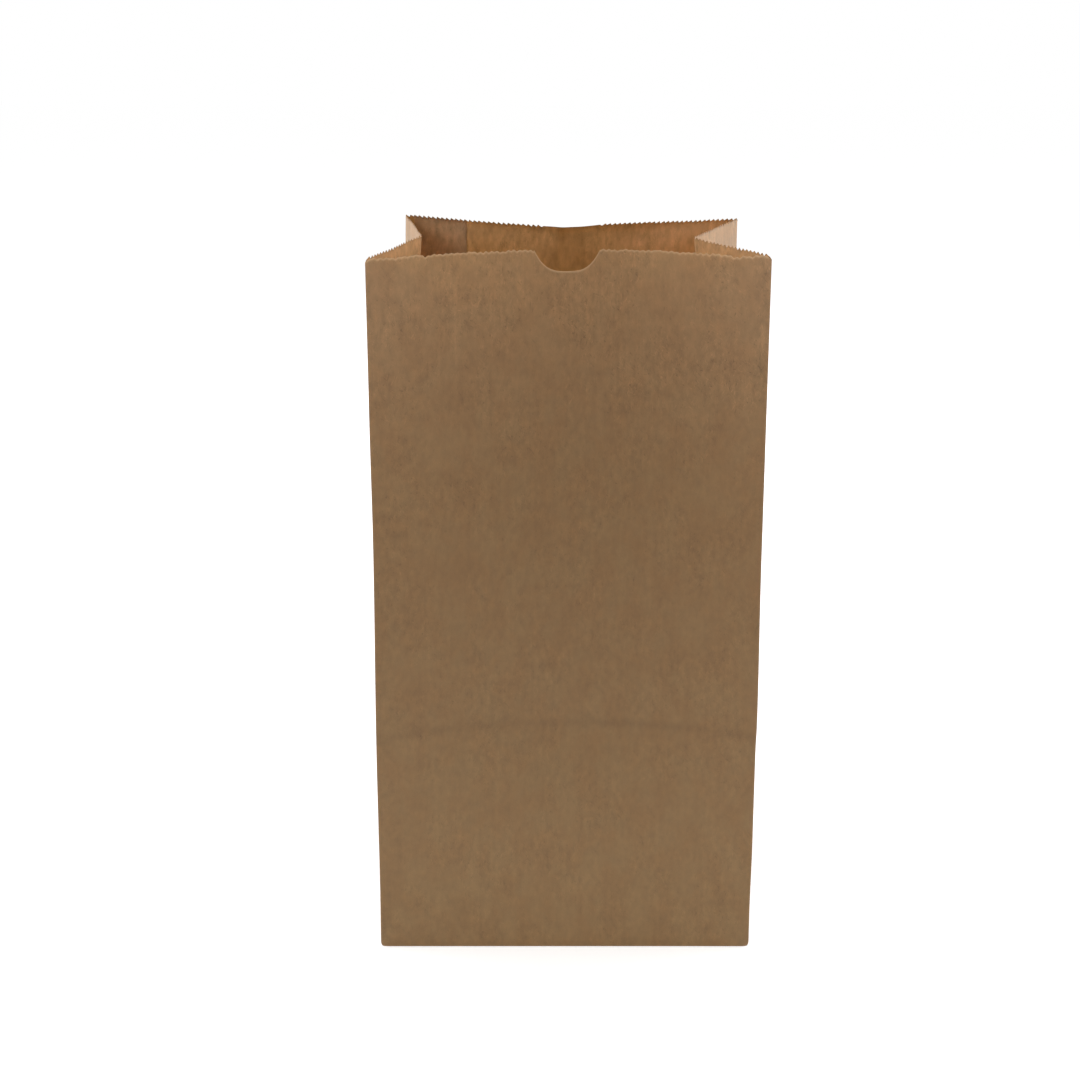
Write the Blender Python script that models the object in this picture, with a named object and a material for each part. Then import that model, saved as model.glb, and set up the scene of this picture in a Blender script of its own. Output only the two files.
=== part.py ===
"""Brown paper lunch bag, standing open: one folded and pasted sheet of kraft paper.

The origin is the middle of the base and the front, with its thumb notch, faces -Y.
The paper runs round the bag as four panels: front, right gusset, back and left gusset.
"""

import math

import bmesh
import bpy
from mathutils import Vector

# Main sizes, in metres
WIDTH = 0.150
DEPTH = 0.092
HEIGHT = 0.281
PAPER = 0.0001

# The front edge stands a little lower than the back edge
FRONT_DROP = 0.0034

# How far each vertical edge has moved at the mouth, in X and Y, from its corner of the base
FRONT_LEFT_LEAN = (0.0053, 0.0036)
FRONT_RIGHT_LEAN = (-0.0061, 0.0042)
BACK_RIGHT_LEAN = (-0.0070, -0.0066)
BACK_LEFT_LEAN = (0.0109, 0.0036)

# Front panel: it bows inwards, with a soft pressed line as high as the base is deep
FRONT_BOW_AT_LINE = 0.0120
FRONT_BOW_AT_MOUTH = 0.0233
FRONT_BOW_SAG = 0.0020
FRONT_BOW_PEAK = 0.56
FRONT_BOW_POWER = 2.0

# Back panel: it bows inwards more, above the crease that the flat bag is folded on
BACK_BOW_AT_CREASE = 0.0045
BACK_BOW_AT_MOUTH = 0.0300
BACK_BOW_PEAK = 0.53
BACK_BOW_POWER = 1.3

# Gussets: the middle crease starts where the base's diagonal creases meet
GUSSET_FOLD_AT_APEX = 0.0025
LEFT_FOLD_AT_MOUTH = 0.0131
RIGHT_FOLD_AT_MOUTH = 0.0211
GUSSET_FOLD_POWER = 1.15

# Lengthwise seam: two plies on the back panel, measured from its left edge
SEAM_OUTER_EDGE = 0.004
SEAM_INNER_EDGE = 0.029
SEAM_FADE = 0.016
CUT_EDGE = 0.0001

# Base: two long flaps pasted over two side flaps
FLAP = 0.060
BASE_THICKNESS = 5 * PAPER

# Saw-toothed mouth
TOOTH_PITCH = 0.00214
TOOTH_DEPTH = 0.0009

# Thumb notch in the front edge, and the plain stretch that lies behind it
NOTCH_WIDTH = 0.0254
NOTCH_DEPTH = 0.0080
NOTCH_POWER = 3.2
PLAIN_STRETCH = 0.0254
PLAIN_DIP = 0.0012

# Fineness of the mesh
COLUMN_STEP = 0.0063
ROW_STEP = 0.0260
RIM_BAND = 0.0120
GUSSET_COLUMNS = 6
NOTCH_STEPS = 9
PROBE = 0.00005

KRAFT_COLOUR = (0.314, 0.196, 0.114, 1.0)

FRONT, RIGHT, BACK, LEFT = range(4)
WIDTHS = (WIDTH, DEPTH, WIDTH, DEPTH)
INWARDS = (Vector((0, 1, 0)), Vector((-1, 0, 0)), Vector((0, -1, 0)), Vector((1, 0, 0)))


def clear_scene():
    for thing in list(bpy.data.objects):
        bpy.data.objects.remove(thing, do_unlink=True)


def edge_line(index, height):
    """Point of a vertical edge: front left, front right, back right or back left."""
    sign_x = (-1, 1, 1, -1)[index]
    sign_y = (-1, -1, 1, 1)[index]
    lean = (FRONT_LEFT_LEAN, FRONT_RIGHT_LEAN, BACK_RIGHT_LEAN, BACK_LEFT_LEAN)[index]
    share = height / HEIGHT
    x = sign_x * WIDTH / 2 + lean[0] * share
    y = sign_y * DEPTH / 2 + lean[1] * share
    return Vector((x, y, height))


def hump(along, peak, power):
    """0 at both ends of a panel and 1 at its peak."""
    reach = peak if along < peak else 1 - peak
    return 1 - (abs(along - peak) / reach) ** power


def front_bow(height):
    top = HEIGHT - FRONT_DROP
    if height < DEPTH:
        return FRONT_BOW_AT_LINE * height / DEPTH
    share = (height - DEPTH) / (top - DEPTH)
    straight = FRONT_BOW_AT_LINE + (FRONT_BOW_AT_MOUTH - FRONT_BOW_AT_LINE) * share
    return straight - FRONT_BOW_SAG * 4 * share * (1 - share)


def back_bow(height):
    crease = DEPTH / 2
    if height < crease:
        return BACK_BOW_AT_CREASE * height / crease
    share = (height - crease) / (HEIGHT - crease)
    return BACK_BOW_AT_CREASE + (BACK_BOW_AT_MOUTH - BACK_BOW_AT_CREASE) * share


def gusset_fold(across, height, fold_at_mouth):
    """How far a gusset is folded in: flat below its diagonal creases, a V above them."""
    apex = DEPTH / 2
    from_edge = min(across, DEPTH - across)
    if height < apex:
        return GUSSET_FOLD_AT_APEX * min(from_edge, max(height, 0)) / apex
    share = (height - apex) / (HEIGHT - apex)
    depth = GUSSET_FOLD_AT_APEX + (fold_at_mouth - GUSSET_FOLD_AT_APEX) * share**GUSSET_FOLD_POWER
    return depth * from_edge / apex


def surface(panel, across, height):
    """Nominal outer face of the paper, across metres along a panel from its first edge."""
    along = across / WIDTHS[panel]
    start = edge_line(panel, height)
    end = edge_line((panel + 1) % 4, height)
    if panel == FRONT:
        inwards = front_bow(height) * hump(along, FRONT_BOW_PEAK, FRONT_BOW_POWER)
    elif panel == BACK:
        inwards = back_bow(height) * hump(along, BACK_BOW_PEAK, BACK_BOW_POWER)
    elif panel == RIGHT:
        inwards = gusset_fold(across, height, RIGHT_FOLD_AT_MOUTH)
    else:
        inwards = gusset_fold(across, height, LEFT_FOLD_AT_MOUTH)
    return start.lerp(end, along) + INWARDS[panel] * inwards


def outward(panel, across, height, step):
    """Level direction out of the bag, from the paper on one side of a point."""
    along = (surface(panel, across + step, height) - surface(panel, across, height)) / step
    return Vector((along.y, -along.x, 0)).normalized()


def mitre(panel, across, height):
    """Offset direction that keeps the paper's thickness on both sides of a fold."""
    after = outward(panel, across, height, PROBE)
    if across > PROBE:
        before = outward(panel, across, height, -PROBE)
    else:
        previous = (panel - 1) % 4
        before = outward(previous, WIDTHS[previous], height, -PROBE)
    return (before + after) / (1 + before.dot(after))


def faces_of_paper(panel, across):
    """How deep the outer and the inner face lie below the nominal outer face."""
    if panel != BACK:
        return 0, PAPER
    from_left = WIDTH - across
    if from_left < SEAM_OUTER_EDGE or from_left >= SEAM_INNER_EDGE + SEAM_FADE:
        return 0, PAPER
    if from_left <= SEAM_INNER_EDGE:
        return -PAPER, PAPER
    settled = (from_left - SEAM_INNER_EDGE) / SEAM_FADE
    return -PAPER * (1 - settled), PAPER * settled


def paper_point(panel, across, height, inside):
    depth = faces_of_paper(panel, across)[inside]
    return surface(panel, across, height) - mitre(panel, across, height) * depth


def divide(keys, step):
    """The key values with even divisions between them, no wider than a step."""
    values = []
    for low, high in zip(keys, keys[1:]):
        parts = max(1, math.ceil((high - low) / step - 0.01))
        values += [low + (high - low) * part / parts for part in range(parts)]
    return values + [keys[-1]]


def columns():
    """(panel, across) of each vertical line of the mesh, round the bag."""
    flaps = [0, FLAP, WIDTH - FLAP, WIDTH]
    seam = [
        WIDTH - SEAM_INNER_EDGE - SEAM_FADE,
        WIDTH - SEAM_INNER_EDGE - CUT_EDGE,
        WIDTH - SEAM_INNER_EDGE,
        WIDTH - SEAM_OUTER_EDGE,
        WIDTH - SEAM_OUTER_EDGE + CUT_EDGE,
    ]
    gusset = [DEPTH / 2 * part / GUSSET_COLUMNS for part in range(2 * GUSSET_COLUMNS + 1)]
    stations = {
        FRONT: divide(flaps, COLUMN_STEP),
        RIGHT: gusset,
        BACK: divide(sorted(flaps + seam), COLUMN_STEP),
        LEFT: gusset,
    }
    return [(panel, across) for panel in range(4) for across in stations[panel][:-1]]


def row_heights():
    """Heights of the rows: close together where the gussets' diagonal creases run."""
    crease = DEPTH / 2
    low = [crease * part / GUSSET_COLUMNS for part in range(1, GUSSET_COLUMNS)]
    top = HEIGHT - FRONT_DROP - RIM_BAND
    return [BASE_THICKNESS] + low + divide([crease, DEPTH, top], ROW_STEP)


def mouth_height(panel, across):
    front = HEIGHT - FRONT_DROP
    along = across / WIDTHS[panel]
    if panel == FRONT:
        return front
    if panel == BACK:
        return HEIGHT
    if panel == RIGHT:
        return front + FRONT_DROP * along
    return HEIGHT - FRONT_DROP * along


def teeth(panel):
    """(across, drop) of the tips and valleys along one panel."""
    count = round(WIDTHS[panel] / TOOTH_PITCH)
    pitch = WIDTHS[panel] / count
    points = []
    for tooth in range(count):
        points.append((tooth * pitch, TOOTH_DEPTH))
        points.append(((tooth + 0.5) * pitch, 0))
    return points


def notch_points():
    """(across, drop) along the thumb notch: one wide stamped curve, steepest at its ends."""
    half = NOTCH_WIDTH / 2
    start = TOOTH_DEPTH / 2
    points = []
    for step in range(-NOTCH_STEPS, NOTCH_STEPS + 1):
        share = math.sin(step / NOTCH_STEPS * math.pi / 2)
        sweep = 1 - abs(share) ** NOTCH_POWER
        points.append((WIDTH / 2 + half * share, start + (NOTCH_DEPTH - start) * sweep))
    return points


def rim():
    """(panel, across, drop) of each point of the cut edge, round the mouth."""
    points = []
    for panel in range(4):
        own = teeth(panel)
        if panel == FRONT:
            clear = NOTCH_WIDTH / 2 + TOOTH_PITCH / 4
            own = [point for point in own if abs(point[0] - WIDTH / 2) > clear]
            own = sorted(own + notch_points())
        if panel == BACK:
            plain = PLAIN_STRETCH / 2
            own = [plain_edge(across, drop, plain) for across, drop in own]
        points += [(panel, across, drop) for across, drop in own]
    return points


def plain_edge(across, drop, plain):
    """A point of the back edge, with no tooth where the notch was stamped."""
    off_middle = abs(across - WIDTH / 2)
    if off_middle > plain:
        return across, drop
    settled = math.cos(off_middle / plain * math.pi / 2)
    return across, TOOTH_DEPTH / 2 + (PLAIN_DIP - TOOTH_DEPTH / 2) * settled


def fill_cell(bm, low, high, place, following, rising):
    """Two triangles of the wall, split along the way that the gusset's creases run."""
    if rising:
        bm.faces.new((low[place], low[following], high[following]))
        bm.faces.new((low[place], high[following], high[place]))
    else:
        bm.faces.new((low[place], low[following], high[place]))
        bm.faces.new((low[following], high[following], high[place]))


def fill_wall(bm, rows, stations):
    for low, high in zip(rows, rows[1:]):
        for place, (panel, across) in enumerate(stations):
            rising = across < WIDTHS[panel] / 2
            fill_cell(bm, low, high, place, (place + 1) % len(stations), rising)


def fill_band(bm, low, high):
    """Triangles between two rings of (flat place, vertex), always across the shorter way."""
    place = partner = 0
    while place < len(low) - 1 or partner < len(high) - 1:
        low_way = high_way = math.inf
        if place < len(low) - 1:
            low_way = (low[place + 1][0] - high[partner][0]).length
        if partner < len(high) - 1:
            high_way = (high[partner + 1][0] - low[place][0]).length
        if low_way < high_way:
            bm.faces.new((low[place][1], low[place + 1][1], high[partner][1]))
            place += 1
        else:
            bm.faces.new((low[place][1], high[partner + 1][1], high[partner][1]))
            partner += 1


def closed(marked):
    """A ring of (flat place, vertex) with its first vertex again where the paper meets itself."""
    place, vertex = marked[0]
    return marked + [(place + Vector((sum(WIDTHS), 0)), vertex)]


def flat_place(panel, across, height):
    """Place on the unrolled paper: round the bag and up."""
    return Vector((sum(WIDTHS[:panel]) + across, height))


def build_wall(bm, inside):
    """One face of the paper's wall. Returns its lowest ring and the ring at the mouth."""
    stations = columns()
    heights = row_heights()
    rows = []
    for height in heights:
        points = [paper_point(panel, across, height, inside) for panel, across in stations]
        rows.append([bm.verts.new(point) for point in points])
    fill_wall(bm, rows, stations)
    band = []
    for (panel, across), vertex in zip(stations, rows[-1]):
        band.append((flat_place(panel, across, heights[-1]), vertex))
    mouth = []
    for panel, across, drop in rim():
        height = mouth_height(panel, across) - drop
        vertex = bm.verts.new(paper_point(panel, across, height, inside))
        mouth.append((flat_place(panel, across, height), vertex))
    fill_band(bm, closed(band), closed(mouth))
    return rows[0], [vertex for place, vertex in mouth]


def join_rings(bm, first, second):
    for place in range(len(first)):
        following = (place + 1) % len(first)
        bm.faces.new((first[place], first[following], second[following], second[place]))


def inset_ring(bm, ring, inset, height):
    """A copy of the lowest ring, drawn in from the base's edges: the rounded fold."""
    limit_x = WIDTH / 2 - inset
    limit_y = DEPTH / 2 - inset
    copy = []
    for vertex in ring:
        x = max(-limit_x, min(limit_x, vertex.co.x))
        y = max(-limit_y, min(limit_y, vertex.co.y))
        copy.append(bm.verts.new((x, y, height)))
    return copy


def side_of(ring, stations, panel):
    """The vertices of one side of a base ring, with the corner that ends it."""
    places = [place for place, station in enumerate(stations) if station[0] == panel]
    return [ring[place] for place in places] + [ring[(places[-1] + 1) % len(ring)]]


def offset_faces(bm, faces, distance):
    """Raises or lowers flaps of the base, with a cut edge all round, and returns them."""
    made = bmesh.ops.extrude_face_region(bm, geom=faces)["geom"]
    moved = [piece for piece in made if isinstance(piece, bmesh.types.BMVert)]
    bmesh.ops.delete(bm, geom=faces, context="FACES_ONLY")
    bmesh.ops.translate(bm, verts=moved, vec=(0, 0, distance))
    return [piece for piece in made if isinstance(piece, bmesh.types.BMFace)]


def fill_underside(bm, ring, stations):
    """Base from below: the back flap lies on the front flap, and both on the side flaps."""
    front, right, back, left = (side_of(ring, stations, panel) for panel in range(4))
    level = ring[0].co.z
    apex_x = WIDTH / 2 - DEPTH / 2
    left_apex = bm.verts.new((-apex_x, 0, level))
    right_apex = bm.verts.new((apex_x, 0, level))
    free_x = WIDTH / 2 - FLAP
    free_y = DEPTH / 2 - FLAP
    free_left = bm.verts.new((-free_x, free_y, level))
    free_right = bm.verts.new((free_x, free_y, level))
    front_end = [right_apex, free_right, free_left, left_apex]
    bm.faces.new(front + front_end)
    back_flap = bm.faces.new(back + list(reversed(front_end)))
    right_flap = bm.faces.new(right + [right_apex])
    left_flap = bm.faces.new(left + [left_apex])
    offset_faces(bm, [back_flap], -PAPER)
    offset_faces(bm, [right_flap], PAPER)
    offset_faces(bm, [left_flap], PAPER)


def flap_ends(side, free_x):
    """Places along one side of the base where the two side flaps' cut edges reach it."""
    return [place for place, vertex in enumerate(side) if abs(abs(vertex.co.x) - free_x) < CUT_EDGE]


def fill_floor(bm, ring, stations):
    """Base from above: a side flap at each end, and the long flaps between them."""
    front, right, back, left = (side_of(ring, stations, panel) for panel in range(4))
    level = ring[0].co.z
    free_x = WIDTH / 2 - FLAP
    edge_y = FLAP - DEPTH / 2
    left_end = bm.verts.new((-free_x, edge_y, level))
    right_end = bm.verts.new((free_x, edge_y, level))
    front_low, front_high = flap_ends(front, free_x)
    back_low, back_high = flap_ends(back, free_x)
    bm.faces.new(left + front[1 : front_low + 1] + [left_end] + back[back_high:-1])
    bm.faces.new(front[front_high:] + right[1:] + back[1 : back_low + 1] + [right_end])
    near = bm.faces.new(front[front_low : front_high + 1] + [right_end, left_end])
    far = bm.faces.new(back[back_low : back_high + 1] + [left_end, right_end])
    lowered = offset_faces(bm, [near, far], -PAPER)
    farthest = max(lowered, key=lambda flap: flap.calc_center_median().y)
    offset_faces(bm, [farthest], -PAPER)


def build_base(bm, outer_ring, inner_ring):
    stations = columns()
    quarter = 1 - math.sqrt(0.5)
    rounded = BASE_THICKNESS - PAPER
    middle = inset_ring(bm, outer_ring, rounded * quarter, PAPER + rounded * quarter)
    lowest = inset_ring(bm, outer_ring, rounded, PAPER)
    join_rings(bm, outer_ring, middle)
    join_rings(bm, middle, lowest)
    fill_underside(bm, lowest, stations)
    fill_floor(bm, inner_ring, stations)


def kraft_material():
    material = bpy.data.materials.new("kraft_paper")
    material.use_nodes = True
    shader = material.node_tree.nodes["Principled BSDF"]
    shader.inputs["Base Color"].default_value = KRAFT_COLOUR
    shader.inputs["Roughness"].default_value = 0.85
    shader.inputs["Metallic"].default_value = 0.0
    material.diffuse_color = KRAFT_COLOUR
    return material


def make_bag():
    bm = bmesh.new()
    outer_low, outer_mouth = build_wall(bm, False)
    inner_low, inner_mouth = build_wall(bm, True)
    join_rings(bm, outer_mouth, inner_mouth)
    build_base(bm, outer_low, inner_low)
    bmesh.ops.recalc_face_normals(bm, faces=bm.faces)
    mesh = bpy.data.meshes.new("paper_bag")
    bm.to_mesh(mesh)
    bm.free()
    mesh.materials.append(kraft_material())
    mesh.shade_smooth()
    mesh.set_sharp_from_angle(angle=math.radians(25))
    bag = bpy.data.objects.new("paper_bag", mesh)
    bpy.context.scene.collection.objects.link(bag)
    return bag


clear_scene()
make_bag()
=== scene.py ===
"""Looks of the brown paper lunch bag: one sheet of kraft paper, folded, pasted and cut."""

import math
import random

import bpy
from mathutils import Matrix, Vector, noise


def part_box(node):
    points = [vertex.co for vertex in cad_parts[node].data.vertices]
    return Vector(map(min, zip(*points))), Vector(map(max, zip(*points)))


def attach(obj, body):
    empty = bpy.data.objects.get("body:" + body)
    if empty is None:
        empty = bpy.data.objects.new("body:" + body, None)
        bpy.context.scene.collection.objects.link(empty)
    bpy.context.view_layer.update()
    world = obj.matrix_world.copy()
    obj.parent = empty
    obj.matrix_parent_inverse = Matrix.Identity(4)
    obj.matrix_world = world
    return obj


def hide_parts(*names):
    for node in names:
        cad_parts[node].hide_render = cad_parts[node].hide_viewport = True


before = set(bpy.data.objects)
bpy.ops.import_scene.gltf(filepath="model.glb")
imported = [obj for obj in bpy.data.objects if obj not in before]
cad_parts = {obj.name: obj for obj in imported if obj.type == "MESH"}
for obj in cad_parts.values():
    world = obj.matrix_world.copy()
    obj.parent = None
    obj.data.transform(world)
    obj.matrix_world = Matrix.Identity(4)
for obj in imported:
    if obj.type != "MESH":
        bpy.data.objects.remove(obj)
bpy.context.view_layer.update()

# Main sizes of the bag in metres, and how much lower its mouth is in front than behind
WIDTH = 0.150
DEPTH = 0.092
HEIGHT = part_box("paper_bag")[1].z
FRONT_DROP = 0.0031
PAPER = 0.0001

# The four panels in their order round the bag, each with its width and its way inwards
FRONT, RIGHT, BACK, LEFT = range(4)
WIDTHS = (WIDTH, DEPTH, WIDTH, DEPTH)
INWARDS = (Vector((0, 1, 0)), Vector((-1, 0, 0)), Vector((0, -1, 0)), Vector((1, 0, 0)))

# How far each vertical edge has moved at the mouth, in X and Y, from its corner of the base
FRONT_LEFT_LEAN = (0.0053, 0.0036)
FRONT_RIGHT_LEAN = (-0.0061, 0.0042)
BACK_RIGHT_LEAN = (-0.0070, -0.0066)
BACK_LEFT_LEAN = (0.0109, 0.0036)

# How far the front's two vertical edges wander from straight in X, at some heights
LEFT_WANDER = ((0.030, 0.00010), (0.085, -0.00010), (0.175, 0.00047), (0.225, 0.00015), (0.281, 0.0))
RIGHT_WANDER = ((0.010, 0.0), (0.045, 0.00038), (0.088, 0.00035), (0.102, 0.00060), (0.170, 0.00012))

# Inward bows of the front and back panels, and how far the gussets are folded in
FRONT_BOW_AT_LINE = 0.0120
FRONT_BOW_AT_MOUTH = 0.0233
FRONT_BOW_SAG = 0.0020
FRONT_BOW_PEAK = 0.56
FRONT_BOW_POWER = 2.0
BACK_BOW_AT_CREASE = 0.0045
BACK_BOW_AT_MOUTH = 0.0300
BACK_BOW_PEAK = 0.53
BACK_BOW_POWER = 1.3
GUSSET_FOLD_AT_APEX = 0.0025
LEFT_FOLD_AT_MOUTH = 0.0131
RIGHT_FOLD_AT_MOUTH = 0.0222
GUSSET_FOLD_POWER = 1.15

# How softly the paper turns at the pressed line, at a crease and at the base
LINE_SOFTNESS = 0.0040
CREASE_SOFTNESS = 0.0007
BASE_FOLD = 0.0005

# Foot of the bag: its corners are tucked in a little, and its front stands slightly forward
CORNER_TUCK = 0.0006
TUCK_REACH = 0.0026
FOOT_FORWARD = 0.0012
FOOT_REACH = 0.030

# Lengthwise seam on the back panel, measured from its left edge
SEAM_OUTER_EDGE = 0.004
SEAM_INNER_EDGE = 0.029
SEAM_FADE = 0.016

# Base flaps: the long ones, where the front one rises over the back one, and the side ones
FLAP = 0.060
FLAP_LIFT = 0.0006
OVERLAP_FROM = -DEPTH / 4
OVERLAP_RISE = DEPTH / 8
SIDE_FLAP_ROWS = 12
SIDE_FLAP_STEPS = 8
SIDE_FLAP_TOP = 0.0004
SIDE_FLAP_INSET = 0.0024

# Small distances: between plies, between the two points of a cut step, and for a slope
PLY_GAP = 0.00001
CUT_EDGE = 0.0001
PROBE = 0.00005

# Saw teeth, the thumb notch and the plain stretch of the back edge behind it
GUSSET_TEETH = 43
MIDDLE_TEETH = 27
HALF_TOOTH = DEPTH / (2 * GUSSET_TEETH)
TOOTH_DEPTH = 0.0009
TOOTH_SPREAD = 0.18
NOTCH_WIDTH = 0.0254
NOTCH_DEPTH = 0.0080
NOTCH_POWER = 3.2
NOTCH_STEPS = 12
PLAIN_STRETCH = 0.0254
PLAIN_DIP = 0.0012

# Wear of the front's cut edge: rounded corners, and blunt teeth in a slow ripple
CORNER_WEAR = 0.0011
CORNER_WEAR_REACH = 0.0024
FRONT_TOOTH_SHARE = 0.55
FRONT_TOOTH_SPREAD = 0.30
RIPPLE = 0.0008
RIPPLE_LENGTH = 0.0040

# How much higher the cut edge stands by the front corners, with each reach along the front and
# the gusset, and along the back from its right end
LEFT_CORNER_LIFT = 0.0003
LEFT_LIFT_REACH = (0.008, 0.020)
RIGHT_CORNER_LIFT = 0.0012
RIGHT_LIFT_REACH = (0.012, 0.040)
BACK_LIFT = (
    (0.0, 0.0),
    (0.015, 0.0003),
    (0.042, 0.00095),
    (0.080, 0.00095),
    (0.088, 0.0004),
    (0.143, 0.0004),
    (0.150, 0.0),
)

# Rows of the sheet, from the cut edge down, and the angle over which an edge shows as sharp
RIM_BAND = 0.0120
RIM_SHARES = (1.0, 0.86, 0.66, 0.4, 0.0)
CUT_BAND = 0.0009
ROW_STEP = 0.0062
LINE_BAND = 0.0060
LINE_STEP = 0.0024
BASE_FOLD_ROWS = 3
FLAP_ROWS = 6
SHARP_ANGLE = math.radians(50)

# Unevenness that handling leaves in the paper, longer up the sheet than across it
SEED = 6
BROAD_WAVE = 0.00035
BROAD_LENGTH = 0.045
BROAD_STRETCH = 0.6
RIM_WAVE = 0.00045
RIM_LENGTH = 0.011
RIM_STRETCH = 0.3
RIM_WAVE_REACH = 0.022
CALM_EDGE = 0.012
CURL = 0.0011
CURL_HALF_WIDTH = 0.0030
CURL_HEIGHT = 0.0026
TOOTH_BEND = 0.0009
TOOTH_BEND_HEIGHT = 0.0016

# Paper colours, in linear light
KRAFT_WARM = (0.394, 0.238, 0.106)
KRAFT_COOL = (0.376, 0.239, 0.110)
# Pale colour of worn creases, also used as painted light on the inner face beside the right gusset and
# near the mouth
KRAFT_WEAR_AND_GLOW = (0.480, 0.310, 0.180)
# Pale colour of the front's cut edge: paler crushed fibres with a painted highlight where the rippled
# edge catches light
KRAFT_CUT = (0.720, 0.530, 0.310)
# Greyer colour of the seam's inner ply: painted shade where two plies let less light through
KRAFT_GREYER = (0.470, 0.356, 0.204)
KRAFT_THROUGH = (0.98, 0.665, 0.29)
HUE_RANGE = (0.35, 0.65)

# Noise patterns: repeats for each millimetre across and up the sheet, detail and roughness
PATTERNS = {
    "clouds": ((0.10, 0.06), 4.0, 0.6),
    "patches": ((0.055, 0.04), 2.0, 0.5),
    "mottle": ((0.20, 0.14), 1.0, 0.5),
    "flocks": ((0.45, 0.28), 3.0, 0.5),
    "specks": ((0.85, 0.70), 1.0, 0.5),
    "grain": ((2.4, 1.7), 2.0, 0.6),
    "streaks": ((1.1, 0.02), 2.0, 0.5),
}

# Fibres: repeats for each millimetre, bend, the noise that shows, and (angle, extra) of each bundle
FIBRE_REPEATS = (3.2, 0.42)
FIBRE_BEND = 0.6
FIBRE_RANGE = (0.68, 0.78)
LIGHT_FIBRES = ((0.15, 0.0), (-0.5, 0.0), (1.1, -0.02))
DARK_FIBRES = ((-0.2, 0.0), (0.75, 0.0))

# How strongly each pattern shows: (contrast, the middle that leaves the paper as it is)
CLOUD_CONTRAST = 0.28
FINE_CONTRASTS = {
    "mottle": (0.19, 0.5),
    "flocks": (0.32, 0.5),
    "grain": (0.06, 0.5),
    "streaks": (0.11, 0.5),
    "light_fibres": (0.24, 0.1),
    "dark_fibres": (-0.24, 0.1),
}
SPECK_RANGE = (0.725, 0.785)
SPECK_DARKNESS = 0.21

# The fine patterns are stronger in some patches than in others, and more so towards the mouth
PATCH_RANGE = (0.36, 0.64)
PATCH_LOW = 0.6
PATCH_HIGH = 1.4
LIVELY_FROM = 0.17
LIVELY_TO = 0.27
LIVELY_LOW = 0.80
LIVELY_HIGH = 1.35

# Painted shade along the line that the flat base pressed into the front, with a painted highlight just
# below it: it falls off at both ends
LINE_HEIGHT = 0.0953
LINE_MIDDLE = 0.078
LINE_REACH = 0.075
LINE_FALL = 0.0017
LINE_FALL_POWER = 6.0
LINE_WIDTH = 0.0019
LINE_DARKNESS = 0.125
LINE_LIGHT_BELOW = 0.0056
LINE_LIGHT_WIDTH = 0.0030
LINE_LIGHTNESS = 0.014

# The seam's inner ply, whose flat places start at a mark of their own, with painted light that makes it
# lighter and painted shade that makes it greyer, and the darker line along the seam's inner edge
INNER_PLY_AT = 1.0
INNER_PLY_LIGHTER = 0.27
INNER_PLY_GREYER = 0.48
SEAM_LINE_WIDTH = 0.0007
SEAM_LINE_DARKNESS = 0.26
SEAM_LINE_OUTSIDE = 0.45

# The inner face's mottle; painted light that makes the inner face paler beside the right gusset, which
# throws light on it; and painted light that makes the paper paler near the mouth, where light comes in
# and through it
INSIDE_MOTTLE = 0.46
INSIDE_LIGHT_FROM = 0.272
INSIDE_LIGHT_TO = 0.325
INSIDE_LIGHTER = 0.30
MOUTH_LIGHTER_FROM = 0.180
MOUTH_LIGHTER = 0.060
MOUTH_GLOW_PALENESS = 0.30

# Worn creases, the shade of the dark cut edges, and the paper's surface
CREASE_WEAR = 0.25
CUT_DARKNESS = 0.28
SHEEN = 0.25
SHEEN_ROUGHNESS = 0.5
ROUGHNESS = 0.58
ROUGHNESS_SPREAD = 0.12
SHINE = 0.5
RELIEF_SHARES = (("flocks", 0.5), ("grain", 0.4), ("light_fibres", 0.3))
RELIEF_STRENGTH = 0.5
RELIEF_DEPTH = 0.00004

# Light that comes through the paper, and how unevenly
THROUGH_SHARE = 0.24
THROUGH_CONTRAST = 0.3
THROUGH_CLOUDS = 0.3
THROUGH_FLOCKS = 0.7

# Camera: where it stands, how far it looks down and its lens on a full-frame sensor
CAMERA_PLACE = (-0.01006, -0.51767, 0.35399)
CAMERA_PITCH = math.radians(20.5806)
PICTURE_SIDE = 1080
FOCAL_PIXELS = 1383.81
SENSOR = 36.0
CLIP_NEAR = 0.01
CLIP_FAR = 50.0

# Studio: the table's colour and its added white, the ambient light, and the lamps, each with its
# name, place, target, size, colour and power
FLOOR_SIZE = 12.0
FLOOR_WHITE = (0.9, 0.9, 0.9)
FLOOR_LIFT_NEAR = 0.55
FLOOR_LIFT_FAR = 0.79
FLOOR_NEAR = 0.12
FLOOR_FAR = 0.90
AMBIENT = 0.23
BAG_MIDDLE = (0.0, 0.0, 0.14)
WHITE = (1.0, 1.0, 1.0)
SOFTBOXES = (
    ("left_box", (-0.95, 0.20, 0.50), BAG_MIDDLE, (0.9, 1.0), WHITE, 9.3),
    ("right_box", (0.95, 0.20, 0.50), BAG_MIDDLE, (0.9, 1.0), WHITE, 9.4),
    ("front_box", (0.0, -0.85, 1.40), BAG_MIDDLE, (1.0, 0.7), WHITE, 2.2),
    ("back_box", (-0.50, 1.10, 0.70), BAG_MIDDLE, (1.4, 0.9), WHITE, 2.8),
    ("low_card", (0.0, -0.17, 0.03), (0.0, -0.14, 0.0), (0.30, 0.02), (0.87, 1.0, 0.87), 0.026),
)


def smooth(share):
    """0 up to 0 and 1 from 1 on, with a soft start and end."""
    share = max(0.0, min(1.0, share))
    return share * share * (3 - 2 * share)


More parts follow.
